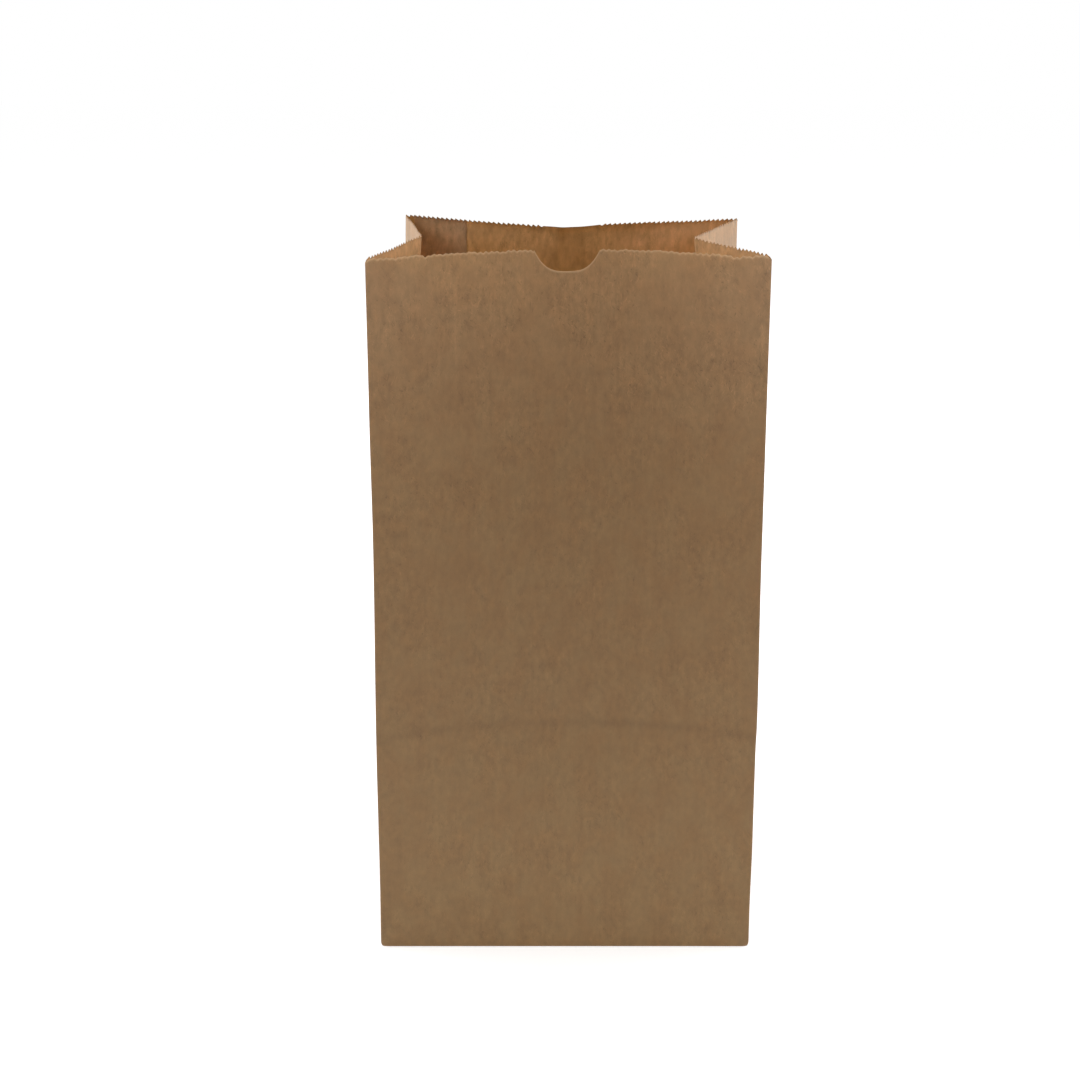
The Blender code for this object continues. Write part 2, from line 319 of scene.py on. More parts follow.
def edge_line(index, height):
    """Point of a vertical edge: front left, front right, back right or back left."""
    sign_x = (-1, 1, 1, -1)[index]
    sign_y = (-1, -1, 1, 1)[index]
    lean = (FRONT_LEFT_LEAN, FRONT_RIGHT_LEAN, BACK_RIGHT_LEAN, BACK_LEFT_LEAN)[index]
    share = height / HEIGHT
    x = sign_x * WIDTH / 2 + lean[0] * share
    y = sign_y * DEPTH / 2 + lean[1] * share
    return Vector((x, y, height))


def hump(along, peak, power):
    """0 at both ends of a panel and 1 at its peak."""
    reach = peak if along < peak else 1 - peak
    return 1 - (abs(along - peak) / reach) ** power


def front_bow(height):
    """How far the front is pushed in: steeper below the pressed line, with a soft turn there."""
    span = HEIGHT - FRONT_DROP - DEPTH
    low_slope = FRONT_BOW_AT_LINE / DEPTH
    high_slope = (FRONT_BOW_AT_MOUTH - FRONT_BOW_AT_LINE - 4 * FRONT_BOW_SAG) / span
    above = height - DEPTH
    share = max(0.0, above / span)
    bow = FRONT_BOW_AT_LINE + high_slope * above + 4 * FRONT_BOW_SAG * share * share
    below = (math.hypot(above, LINE_SOFTNESS) - above) / 2
    settled = LINE_SOFTNESS * LINE_SOFTNESS / (4 * math.hypot(DEPTH, LINE_SOFTNESS))
    return bow - (low_slope - high_slope) * (below - settled)


def back_bow(height):
    """How far the back is pushed in: a little up to its crease, then evenly more to the mouth."""
    crease = DEPTH / 2
    if height < crease:
        return BACK_BOW_AT_CREASE * height / crease
    share = (height - crease) / (HEIGHT - crease)
    return BACK_BOW_AT_CREASE + (BACK_BOW_AT_MOUTH - BACK_BOW_AT_CREASE) * share


def gusset_fold(across, height, fold_at_mouth):
    """How far a gusset is folded in: flat below its diagonal creases, a V above them."""
    apex = DEPTH / 2
    from_edge = apex - math.hypot(across - apex, CREASE_SOFTNESS)
    if height < apex:
        apart = math.hypot(from_edge - height, CREASE_SOFTNESS)
        return GUSSET_FOLD_AT_APEX * max(0.0, from_edge + height - apart) / (2 * apex)
    share = (height - apex) / (HEIGHT - apex)
    deeper = (fold_at_mouth - GUSSET_FOLD_AT_APEX) * share**GUSSET_FOLD_POWER
    return (GUSSET_FOLD_AT_APEX + deeper) * max(0.0, from_edge) / apex


def folded(panel, across, height):
    """Place on the folded sheet, across metres along a panel from its first edge."""
    along = across / WIDTHS[panel]
    start = edge_line(panel, height)
    end = edge_line((panel + 1) % 4, height)
    if panel == FRONT:
        inwards = front_bow(height) * hump(along, FRONT_BOW_PEAK, FRONT_BOW_POWER)
    elif panel == BACK:
        inwards = back_bow(height) * hump(along, BACK_BOW_PEAK, BACK_BOW_POWER)
    elif panel == RIGHT:
        inwards = gusset_fold(across, height, RIGHT_FOLD_AT_MOUTH)
    else:
        inwards = gusset_fold(across, height, LEFT_FOLD_AT_MOUTH)
    return start.lerp(end, along) + INWARDS[panel] * inwards


def outward(panel, across, height):
    """Level direction out of the bag at a point of a panel."""
    low = max(0.0, across - PROBE)
    high = min(WIDTHS[panel], across + PROBE)
    along = folded(panel, high, height) - folded(panel, low, height)
    return Vector((along.y, -along.x, 0)).normalized()


def seam_ply(panel, across):
    """How far the outer ply stands out where it laps over the inner one."""
    from_left = WIDTH - across
    if panel != BACK or from_left <= SEAM_OUTER_EDGE:
        return 0.0
    return PAPER * (1 - smooth((from_left - SEAM_INNER_EDGE) / SEAM_FADE))


def paper_place(panel, across, height):
    """Flat place on the unfolded sheet: round the bag and up."""
    return sum(WIDTHS[:panel]) + across, height


def unevenness(panel, across, height):
    """Small waves in the paper, calm along the creases and above the base, livelier at the mouth."""
    creases = [0.0, WIDTHS[panel]]
    if panel in (RIGHT, LEFT):
        creases.append(DEPTH / 2)
    calm = smooth(min(abs(across - crease) for crease in creases) / CALM_EDGE)
    calm *= smooth((height - BASE_FOLD) / (2 * CALM_EDGE))
    u, v = paper_place(panel, across, height)
    broad = noise.noise(Vector((u, v * BROAD_STRETCH, 0.0)) / BROAD_LENGTH)
    near_rim = smooth(1 - (HEIGHT - FRONT_DROP - height) / RIM_WAVE_REACH)
    fine = noise.noise(Vector((u, v * RIM_STRETCH, 0.1)) / RIM_LENGTH)
    return calm * (BROAD_WAVE * broad + RIM_WAVE * near_rim * fine)


def edge_curl(panel, across, height):
    """The back edge curls in a little at the middle of its bow."""
    if panel != BACK:
        return 0.0
    off_peak = (across - WIDTH * BACK_BOW_PEAK) / CURL_HALF_WIDTH
    return CURL * math.exp(-off_peak * off_peak) * smooth(1 - (HEIGHT - height) / CURL_HEIGHT)


def mouth_height(panel, across):
    """Height of the cut edge's tooth tips before any lift: lower in front than behind."""
    front = HEIGHT - FRONT_DROP
    along = across / WIDTHS[panel]
    if panel == FRONT:
        return front
    if panel == BACK:
        return HEIGHT
    if panel == RIGHT:
        return front + FRONT_DROP * along
    return HEIGHT - FRONT_DROP * along


def tooth_bend(panel, across, height):
    """The teeth of the back edge bend in over the bag."""
    if panel != BACK:
        return 0.0
    below_tips = (mouth_height(panel, across) - height) / TOOTH_BEND_HEIGHT
    return TOOTH_BEND * max(0.0, 1 - below_tips) ** 2


def between(stops, place):
    """Smooth value at a place, from (place, value) stops."""
    for (low, start), (high, end) in zip(stops, stops[1:]):
        if place < high:
            return start + (end - start) * smooth((place - low) / (high - low))
    return stops[-1][1]


def edge_wander(panel, across, height):
    """Sideways offset near the front's two edges, which are not quite straight."""
    along = across / WIDTHS[panel]
    to_left = {FRONT: 1 - along, LEFT: 2 * along - 1}.get(panel, 0.0)
    to_right = {FRONT: along, RIGHT: 1 - 2 * along}.get(panel, 0.0)
    left = between(LEFT_WANDER, height) * max(0.0, to_left) ** 2
    right = between(RIGHT_WANDER, height) * max(0.0, to_right) ** 2
    return Vector((left + right, 0, 0))


def corner_tuck(panel, across, height):
    """Offset that rounds the corners of the base inwards, close to the table."""
    from_corner = min(across, WIDTHS[panel] - across)
    near = max(0.0, 1 - from_corner / TUCK_REACH) * max(0.0, 1 - height / TUCK_REACH)
    place = folded(panel, across, height)
    inwards = Vector((-math.copysign(1, place.x), -math.copysign(1, place.y), 0))
    return inwards * (CORNER_TUCK * near * near)


def foot_forward(place):
    """Offset of the front's foot, which stands slightly further forward than the wall above it."""
    low = smooth(1 - place.z / FOOT_REACH)
    front = smooth(-place.y / (DEPTH / 2))
    return Vector((0, -FOOT_FORWARD * low * front, 0))


def wall_point(panel, across, height):
    """Outer face of the wall, with the seam's ply and the paper's unevenness."""
    out = seam_ply(panel, across) + unevenness(panel, across, height)
    out -= edge_curl(panel, across, height) + tooth_bend(panel, across, height)
    place = folded(panel, across, height) + edge_wander(panel, across, height)
    place += corner_tuck(panel, across, height)
    place += foot_forward(place)
    return place + outward(panel, across, height) * out


def floor_point(panel, across, share):
    """Place on a folded-under flap: share 0 is at the base's edge, 1 at a diagonal or free edge."""
    from_corner = min(across, WIDTHS[panel] - across)
    depth = max(BASE_FOLD, min(from_corner, FLAP))
    corner_x = WIDTH / 2 - BASE_FOLD
    corner_y = DEPTH / 2 - BASE_FOLD
    start = folded(panel, across, 0.0)
    start.x = max(-corner_x, min(corner_x, start.x))
    start.y = max(-corner_y, min(corner_y, start.y))
    end = start + INWARDS[panel] * (depth - BASE_FOLD)
    place = start.lerp(end, share) + corner_tuck(panel, across, 0.0)
    place += foot_forward(place)
    if panel == FRONT and from_corner > DEPTH / 2 + HALF_TOOTH / 2:
        place.z = (PAPER + PLY_GAP) * smooth((place.y - OVERLAP_FROM) / OVERLAP_RISE)
    return place


def base_fold_point(panel, across, turn):
    """Place on the rounded fold between the wall, turn 0, and the base, turn 1."""
    wall = wall_point(panel, across, BASE_FOLD)
    floor = floor_point(panel, across, 0.0)
    angle = turn * math.pi / 2
    sideways = wall.lerp(floor, 1 - math.cos(angle))
    sideways.z = BASE_FOLD * (1 - math.sin(angle))
    return sideways


def divide(keys, step):
    """The key values with even divisions between them, no wider than a step."""
    values = []
    for first, last in zip(keys, keys[1:]):
        parts = max(1, math.ceil(abs(last - first) / step - 0.01))
        values += [first + (last - first) * part / parts for part in range(parts)]
    return values + [keys[-1]]


def tooth_stations():
    """Distances along a long panel of its tooth tips and valleys, in turn from a valley."""
    near = [HALF_TOOTH * step for step in range(GUSSET_TEETH)]
    halves = 2 * MIDDLE_TEETH
    middle = [DEPTH / 2 + (WIDTH - DEPTH) * step / halves for step in range(halves)]
    far = [WIDTH - DEPTH / 2 + HALF_TOOTH * step for step in range(GUSSET_TEETH)]
    return near + middle + far


def notch_outline():
    """(across, drop) along the thumb notch: one wide stamped curve, steepest at its ends."""
    half = NOTCH_WIDTH / 2
    start = TOOTH_DEPTH / 2
    points = []
    for step in range(-NOTCH_STEPS, NOTCH_STEPS + 1):
        share = math.sin(step / NOTCH_STEPS * math.pi / 2)
        sweep = 1 - abs(share) ** NOTCH_POWER
        points.append((WIDTH / 2 + half * share, start + (NOTCH_DEPTH - start) * sweep))
    return points


def worn_tooth(across, drop, uneven):
    """The same point on the front edge, whose teeth are bent and blunt, in a slow ripple."""
    ripple = noise.noise(Vector((across / RIPPLE_LENGTH, SEED, 0.0)))
    blunt = FRONT_TOOTH_SHARE + FRONT_TOOTH_SPREAD * uneven.uniform(-1, 1)
    calm = smooth(min(across, WIDTH - across) / CALM_EDGE)
    middle = TOOTH_DEPTH / 2
    return max(0.0, middle + (drop - middle) * blunt + RIPPLE * ripple * calm)


def worn_corner(panel, across):
    """How far the cut edge is worn down at the two front corners of the mouth."""
    from_corner = {FRONT: min(across, WIDTH - across), RIGHT: across, LEFT: DEPTH - across}
    return CORNER_WEAR * max(0.0, 1 - from_corner.get(panel, DEPTH) / CORNER_WEAR_REACH) ** 2


def mouth_lift(panel, across):
    """How much higher the cut edge stands beside the two front corners and along the back."""
    left = {FRONT: across / LEFT_LIFT_REACH[0], LEFT: (DEPTH - across) / LEFT_LIFT_REACH[1]}
    right = {FRONT: (WIDTH - across) / RIGHT_LIFT_REACH[0], RIGHT: across / RIGHT_LIFT_REACH[1]}
    lift = LEFT_CORNER_LIFT * smooth(1 - left.get(panel, 1.0))
    lift += RIGHT_CORNER_LIFT * smooth(1 - right.get(panel, 1.0))
    return lift + (between(BACK_LIFT, across) if panel == BACK else 0.0)


def plain_edge(across, drop):
    """A point of the back edge, with no tooth where the notch was stamped."""
    off_middle = abs(across - WIDTH / 2) / (PLAIN_STRETCH / 2)
    if off_middle > 1:
        return across, drop
    settled = math.cos(off_middle * math.pi / 2)
    return across, TOOTH_DEPTH / 2 + (PLAIN_DIP - TOOTH_DEPTH / 2) * settled


def seam_step():
    """Two close points where the outer ply of the seam begins."""
    step = WIDTH - SEAM_OUTER_EDGE
    return [(step - CUT_EDGE, TOOTH_DEPTH / 2), (step, TOOTH_DEPTH / 2)]


def cut_edge():
    """(panel, across, drop) of each point of the mouth's cut edge, round the bag."""
    uneven = random.Random(SEED)
    gusset = [HALF_TOOTH * step for step in range(2 * GUSSET_TEETH)]
    stations = (tooth_stations(), gusset, tooth_stations(), gusset)
    points = []
    for panel in range(4):
        own = []
        for step, across in enumerate(stations[panel]):
            depth = TOOTH_DEPTH * (1 + uneven.uniform(-TOOTH_SPREAD, TOOTH_SPREAD))
            drop = depth if step % 2 == 0 else 0.0
            if panel == FRONT:
                drop = worn_tooth(across, drop, uneven)
            wear = worn_corner(panel, across)
            own.append((across, TOOTH_DEPTH / 2 + wear if wear else drop))
        if panel == FRONT:
            own = [point for point in own if abs(point[0] - WIDTH / 2) > NOTCH_WIDTH / 2]
            own = sorted(own + notch_outline())
        if panel == BACK:
            own = [plain_edge(across, drop) for across, drop in own]
            own = sorted(own + seam_step())
        points += [(panel, across, drop) for across, drop in own]
    return points


def wall_heights():
    """Heights of the rows below the rim band: finer at the pressed line and the diagonals."""
    band = HEIGHT - FRONT_DROP - RIM_BAND
    upper = divide([band, DEPTH + LINE_BAND], ROW_STEP)
    line = divide([DEPTH + LINE_BAND, DEPTH, DEPTH - LINE_BAND], LINE_STEP)
    lower = divide([DEPTH - LINE_BAND, DEPTH / 2], ROW_STEP)
    diagonals = [HALF_TOOTH * step for step in range(GUSSET_TEETH - 1, 0, -1)]
    return upper[1:] + line[1:] + lower[1:] + diagonals


def behind(panel, across):
    """True on the rear half of a gusset, which the flat bag's crease runs across."""
    return across > DEPTH / 2 if panel == RIGHT else across < DEPTH / 2


def creased(panel, across, height):
    """True on the lines that the paper was folded along."""
    near = CUT_EDGE
    from_corner = min(across, WIDTHS[panel] - across)
    if from_corner < near or height < BASE_FOLD + near:
        return True
    if panel in (RIGHT, LEFT):
        middle = abs(across - DEPTH / 2)
        if height > DEPTH / 2 - near:
            return middle < near or (abs(height - DEPTH / 2) < near and behind(panel, across))
        return abs(from_corner - height) < near
    return panel == BACK and abs(height - DEPTH / 2) < near


def column(panel, across, drop):
    """(place, flat place, cut, crease) down the sheet, from the cut edge to a flap's end.

    The cut mark is 1 on the front's cut edge, pale with a painted highlight, and -1 on the others, in
    painted shade.
    """
    cut = mouth_height(panel, across) + mouth_lift(panel, across) - drop
    cut_mark = 1.0 if panel == FRONT else -1.0
    band = HEIGHT - FRONT_DROP - RIM_BAND
    heights = [cut]
    heights += [band + (cut - CUT_BAND - band) * share for share in RIM_SHARES]
    heights += wall_heights()
    points = []
    for height in heights:
        flat = paper_place(panel, across, height)
        crease = float(creased(panel, across, height))
        points.append((wall_point(panel, across, height), flat, cut_mark * (height == cut), crease))
    for row in range(BASE_FOLD_ROWS):
        place = base_fold_point(panel, across, row / BASE_FOLD_ROWS)
        points.append((place, paper_place(panel, across, place.z), 0.0, 1.0))
    for row in range(FLAP_ROWS + 1):
        place = floor_point(panel, across, row / FLAP_ROWS)
        depth = (place - floor_point(panel, across, 0.0)).length
        ends = float(row in (0, FLAP_ROWS))
        points.append((place, paper_place(panel, across, -depth), 0.0, ends))
    return points


def inner_ply_column(panel, across, drop):
    """The same for the seam's inner ply, which lies inside the outer one down to the base."""
    inside = -outward(panel, across, HEIGHT) * (seam_ply(panel, across) + PLY_GAP)
    points = []
    for place, flat, cut, crease in column(panel, across, drop)[: -FLAP_ROWS - 1]:
        points.append((place + inside, (flat[0] + INNER_PLY_AT, flat[1]), cut, 0.0))
    return points


def side_flap_column(end, share):
    """Across one inner side flap, from the end of the base to its free edge."""
    sign = -1 if end == LEFT else 1
    x = sign * (WIDTH / 2 - SIDE_FLAP_INSET - (FLAP - SIDE_FLAP_INSET) * share)
    reach = DEPTH / 2 - SIDE_FLAP_INSET
    points = []
    for row in range(SIDE_FLAP_ROWS + 1):
        y = reach * (2 * row / SIDE_FLAP_ROWS - 1)
        lift = FLAP_LIFT * share**3 * (1 + noise.noise(Vector((sign, y / BROAD_LENGTH, share))))
        place = Vector((x, y * -sign, SIDE_FLAP_TOP + lift))
        points.append((place, (sum(WIDTHS) + share * FLAP, y), float(share == 1), 0.0))
    return points


def paper_sheet(name, columns):
    """A sheet of paper as a grid, with its flat places as its UV map."""
    rows = len(columns[0])
    bpy.ops.object.select_all(action="DESELECT")
    bpy.ops.mesh.primitive_grid_add(x_subdivisions=len(columns) - 1, y_subdivisions=rows - 1, size=1)
    sheet = bpy.context.object
    sheet.name = name
    mesh = sheet.data
    mesh.name = name
    cut_marks = mesh.attributes.new("cut", "FLOAT", "POINT")
    crease_marks = mesh.attributes.new("crease", "FLOAT", "POINT")
    flat_places = []
    for vertex in mesh.vertices:
        step = round((vertex.co.x + 0.5) * (len(columns) - 1))
        row = round((0.5 - vertex.co.y) * (rows - 1))
        place, flat, cut, crease = columns[step][row]
        vertex.co = place
        flat_places.append(flat)
        cut_marks.data[vertex.index].value = cut
        crease_marks.data[vertex.index].value = crease
    uv_map = mesh.uv_layers[0]
    uv_map.name = "paper"
    for loop in mesh.loops:
        uv_map.data[loop.index].uv = flat_places[loop.vertex_index]
    return sheet


def weld(sheet, distance):
    """Joins the points that meet where the sheet is folded round on itself."""
    bpy.context.view_layer.objects.active = sheet
    bpy.ops.object.mode_set(mode="EDIT")
    bpy.ops.mesh.select_all(action="SELECT")
    bpy.ops.mesh.remove_doubles(threshold=distance)
    bpy.ops.object.mode_set(mode="OBJECT")


def give_thickness(sheet):
    """Gives the sheet its ply's thickness inwards, and marks the points of its inner face."""
    outer = len(sheet.data.vertices)
    ply = sheet.modifiers.new("ply", "SOLIDIFY")
    ply.thickness = PAPER
    ply.offset = -1
    bpy.context.view_layer.objects.active = sheet
    bpy.ops.object.modifier_apply(modifier=ply.name)
    inside_marks = sheet.data.attributes.new("inside", "FLOAT", "POINT")
    for index in range(outer, len(sheet.data.vertices)):
        inside_marks.data[index].value = 1.0


def main_sheet():
    """The whole sheet: four panels, and below them the flaps that close the base."""
    columns = [column(*point) for point in cut_edge()]
    once_more = [(place, (sum(WIDTHS), flat[1]), cut, crease) for place, flat, cut, crease in columns[0]]
    sheet = paper_sheet("kraft_sheet", columns + [once_more])
    weld(sheet, PLY_GAP / 2)
    return sheet


def seam_inner_ply():
    """The inner ply of the lengthwise seam, with its own share of the saw teeth."""
    low = WIDTH - SEAM_INNER_EDGE
    high = WIDTH - SEAM_OUTER_EDGE - CUT_EDGE
    own = [point for point in cut_edge() if point[0] == BACK and low < point[1] < high]
    edge = [(BACK, low, TOOTH_DEPTH / 2)]
    columns = [inner_ply_column(*point) for point in edge + own]
    return paper_sheet("seam_inner_ply", columns)


def side_flap(end):
    """An inner side flap of the base, as it shows from above."""
    columns = [side_flap_column(end, step / SIDE_FLAP_STEPS) for step in range(SIDE_FLAP_STEPS + 1)]
    return paper_sheet("side_flap", columns)


def make_bag():
    """All plies of the bag as one finished piece."""
    plies = [main_sheet(), seam_inner_ply(), side_flap(LEFT), side_flap(RIGHT)]
    for ply in plies:
        give_thickness(ply)
    bpy.ops.object.select_all(action="DESELECT")
    for ply in plies:
        ply.select_set(True)
    bpy.context.view_layer.objects.active = plies[0]
    bpy.ops.object.join()
    bpy.ops.object.shade_smooth_by_angle(angle=SHARP_ANGLE)
    return plies[0]


def calc(tree, operation, *values):
    """The output of a Math node on numbers or sockets."""
    made = tree.nodes.new("ShaderNodeMath")
    made.operation = operation
    for place, value in enumerate(values):
        if isinstance(value, bpy.types.NodeSocket):
            tree.links.new(value, made.inputs[place])
        else:
            made.inputs[place].default_value = value
    return made.outputs[0]


def product(tree, first, *others):
    """Numbers or sockets multiplied together."""
    for other in others:
        first = calc(tree, "MULTIPLY", first, other)
    return first


def total(tree, first, *others):
    """Numbers or sockets added together."""
    for other in others:
        first = calc(tree, "ADD", first, other)
    return first


def spread(tree, share, low, high):
    """A value that goes from low to high as a share goes from 0 to 1."""
    return calc(tree, "MULTIPLY_ADD", share, high - low, low)


def bell(tree, off_line, width):
    """1 on a line and softly down to 0 beyond its width, on both sides."""
    off = calc(tree, "DIVIDE", calc(tree, "ABSOLUTE", off_line), width)
    return calc(tree, "EXPONENT", product(tree, calc(tree, "POWER", off, 2.0), -1.0))


def ramp(tree, value, low, high):
    """0 where a value is at its low mark or under it, 1 from its high mark on."""
    made = tree.nodes.new("ShaderNodeMapRange")
    made.interpolation_type = "SMOOTHSTEP"
    made.inputs["From Min"].default_value = low
    made.inputs["From Max"].default_value = high
    tree.links.new(value, made.inputs["Value"])
    return made.outputs["Result"]


def attribute(tree, name):
    """A mark that the mesh carries on its points."""
    made = tree.nodes.new("ShaderNodeAttribute")
    made.attribute_name = name
    return made.outputs["Fac"]


def stretched(tree, coordinates, repeats, angle=0.0):
    """Coordinates turned by an angle, then scaled to pattern repeats for each millimetre."""
    mapping = tree.nodes.new("ShaderNodeMapping")
    mapping.vector_type = "TEXTURE"
    mapping.inputs["Rotation"].default_value = (0, 0, angle)
    mapping.inputs["Scale"].default_value = (0.001 / repeats[0], 0.001 / repeats[1], 1)
    tree.links.new(coordinates, mapping.inputs["Vector"])
    return mapping.outputs["Vector"]


def noise_of(tree, vector, detail, roughness, distortion=0.0):
    """A noise pattern from about 0.25 to 0.75, with one repeat for each unit of its vector."""
    made = tree.nodes.new("ShaderNodeTexNoise")
    made.noise_dimensions = "2D"
    made.inputs["Scale"].default_value = 1.0
    made.inputs["Detail"].default_value = detail
    made.inputs["Roughness"].default_value = roughness
    made.inputs["Distortion"].default_value = distortion
    tree.links.new(vector, made.inputs["Vector"])
    return made.outputs["Fac"]


def blended(tree, share, first, second):
    """A mix of two colours, each a socket or a plain colour."""
    made = tree.nodes.new("ShaderNodeMix")
    made.data_type = "RGBA"
    tree.links.new(share, made.inputs["Factor"])
    for place, value in ((6, first), (7, second)):
        if isinstance(value, bpy.types.NodeSocket):
            tree.links.new(value, made.inputs[place])
        else:
            made.inputs[place].default_value = (*value, 1.0)
    return made.outputs[2]


def toned(tree, colour, tone):
    """A colour made lighter or darker by a tone around 1."""
    made = tree.nodes.new("ShaderNodeVectorMath")
    made.operation = "SCALE"
    tree.links.new(colour, made.inputs[0])
    tree.links.new(tone, made.inputs["Scale"])
    return made.outputs[0]


def plain_colour(tree, colour):
    """A colour as a socket."""
    made = tree.nodes.new("ShaderNodeRGB")
    made.outputs[0].default_value = (*colour, 1.0)
    return made.outputs[0]


def fibres(tree, sheet, bundles):
    """Short thin fibres in a few bundles, each of which lies roughly at one angle."""
    strands = 0.0
    for angle, extra in bundles:
        own = noise_of(tree, stretched(tree, sheet, FIBRE_REPEATS, angle), 1.0, 0.5, FIBRE_BEND)
        own = ramp(tree, own, FIBRE_RANGE[0] - extra, FIBRE_RANGE[1] - extra)
        strands = calc(tree, "MAXIMUM", own, strands)
    return strands


def paper_patterns(tree, sheet):
    """The patterns of the paper by name, each as a socket."""
    patterns = {"light_fibres": fibres(tree, sheet, LIGHT_FIBRES)}
    patterns["dark_fibres"] = fibres(tree, sheet, DARK_FIBRES)
    for name, (repeats, detail, roughness) in PATTERNS.items():
        patterns[name] = noise_of(tree, stretched(tree, sheet, repeats), detail, roughness)
    return patterns


def paper_areas(tree, across, height):
    """How much each point belongs to each area of the paper that looks different, by name."""
    inside = attribute(tree, "inside")
    off_gusset = ramp(tree, across, INSIDE_LIGHT_FROM, INSIDE_LIGHT_TO)
    on_back = calc(tree, "GREATER_THAN", across, WIDTH + DEPTH)
    return {
        "inside": inside,
        # Painted light on the inner face beside the right gusset
        "gusset_glow": product(tree, calc(tree, "SUBTRACT", 1.0, off_gusset), on_back, inside),
        "inner_ply": calc(tree, "GREATER_THAN", across, INNER_PLY_AT),
        # Painted light near the mouth
        "mouth_glow": ramp(tree, height, MOUTH_LIGHTER_FROM, HEIGHT),
        # Pale cut: paler fibres with a painted highlight on the front's cut edge; dark cut: painted
        # shade on the other cut edges
        "pale_cut": calc(tree, "MAXIMUM", attribute(tree, "cut"), 0.0),
        "shaded_cut": calc(tree, "MAXIMUM", product(tree, attribute(tree, "cut"), -1.0), 0.0),
        "crease": attribute(tree, "crease"),
    }


def liveliness(tree, patches, height):
    """How strongly the fine patterns show at a point."""
    patchy = spread(tree, ramp(tree, patches, *PATCH_RANGE), PATCH_LOW, PATCH_HIGH)
    upwards = spread(tree, ramp(tree, height, LIVELY_FROM, LIVELY_TO), LIVELY_LOW, LIVELY_HIGH)
    return product(tree, patchy, upwards)


def pressed_line_shade(tree, across, height):
    """Painted shade along the line that the flat base pressed into the front, less a painted highlight
    just below it.
    """
    off_middle = calc(tree, "ABSOLUTE", calc(tree, "SUBTRACT", across, LINE_MIDDLE))
    share = calc(tree, "DIVIDE", off_middle, LINE_REACH)
    fall = product(tree, calc(tree, "POWER", share, LINE_FALL_POWER), LINE_FALL)
    off_line = total(tree, calc(tree, "SUBTRACT", height, LINE_HEIGHT), fall)
    dark = product(tree, bell(tree, off_line, LINE_WIDTH), LINE_DARKNESS)
    light = bell(tree, total(tree, off_line, LINE_LIGHT_BELOW), LINE_LIGHT_WIDTH)
    line = calc(tree, "SUBTRACT", dark, product(tree, light, LINE_LIGHTNESS))
    return product(tree, line, calc(tree, "LESS_THAN", across, WIDTH))


def seam_edge_line(tree, across, inner_ply):
    """How much darker the paper is along the inner edge of the pasted seam, most on its inner ply."""
    place = 2 * WIDTH + DEPTH - SEAM_INNER_EDGE
    off_line = calc(tree, "SUBTRACT", calc(tree, "MODULO", across, INNER_PLY_AT), place)
    share = calc(tree, "MAXIMUM", inner_ply, SEAM_LINE_OUTSIDE)
    return product(tree, bell(tree, off_line, SEAM_LINE_WIDTH), share, SEAM_LINE_DARKNESS)


def fine_tone(tree, patterns):
    """The fine patterns together, as lighter and darker places around 0."""
    fine = product(tree, ramp(tree, patterns["specks"], *SPECK_RANGE), -SPECK_DARKNESS)
    for name, (contrast, middle) in FINE_CONTRASTS.items():
        change = calc(tree, "MULTIPLY_ADD", patterns[name], contrast, -contrast * middle)
        fine = total(tree, fine, change)
    return fine


def paper_tone(tree, patterns, areas, across, height):
    """How light or dark the paper is at a point, around 1."""
    tone = spread(tree, patterns["clouds"], 1 - CLOUD_CONTRAST / 2, 1 + CLOUD_CONTRAST / 2)
    lively = liveliness(tree, patterns["patches"], height)
    spots = calc(tree, "SUBTRACT", total(tree, patterns["flocks"], patterns["mottle"]), 1.0)
    darker = total(
        tree,
        # Painted shade along the pressed line, less a painted highlight below it
        pressed_line_shade(tree, across, height),
        seam_edge_line(tree, across, areas["inner_ply"]),
        # Painted shade on the dark cut edges
        product(tree, areas["shaded_cut"], CUT_DARKNESS),
    )
    lighter = total(
        tree,
        product(tree, fine_tone(tree, patterns), lively),
        product(tree, spots, INSIDE_MOTTLE, areas["inside"]),
        # Painted light on the seam's inner ply
        product(tree, areas["inner_ply"], INNER_PLY_LIGHTER),
        # Painted light near the mouth
        product(tree, areas["mouth_glow"], MOUTH_LIGHTER),
        # Painted light on the inner face beside the right gusset
        product(tree, areas["gusset_glow"], INSIDE_LIGHTER),
    )
    return calc(tree, "SUBTRACT", total(tree, tone, lighter), darker)


def paper_colour(tree, clouds, areas, tone):
    """The paper's colour: painted greyer on the inner ply, painted paler by the right gusset and near
    the mouth, paler on worn creases, and pale with a painted highlight on the front's cut.
    """
    kraft = blended(tree, ramp(tree, clouds, *HUE_RANGE), KRAFT_WARM, KRAFT_COOL)
    kraft = blended(tree, product(tree, areas["inner_ply"], INNER_PLY_GREYER), kraft, KRAFT_GREYER)
    # Painted light: paler on the inner face beside the right gusset and near the mouth
    worn = calc(tree, "MAXIMUM", areas["gusset_glow"], product(tree, areas["mouth_glow"], MOUTH_GLOW_PALENESS))
    colour = toned(tree, blended(tree, worn, kraft, KRAFT_WEAR_AND_GLOW), tone)
    colour = blended(tree, product(tree, areas["crease"], CREASE_WEAR), colour, KRAFT_WEAR_AND_GLOW)
    # Pale front cut edge, with a painted highlight
    return blended(tree, areas["pale_cut"], colour, KRAFT_CUT)


def paper_relief(tree, patterns):
    """A slight bump from the flocks, the grain and the light fibres."""
    relief = total(tree, *(product(tree, patterns[name], share) for name, share in RELIEF_SHARES))
    bump = tree.nodes.new("ShaderNodeBump")
    bump.inputs["Strength"].default_value = RELIEF_STRENGTH
    bump.inputs["Distance"].default_value = RELIEF_DEPTH
    tree.links.new(relief, bump.inputs["Height"])
    return bump.outputs["Normal"]


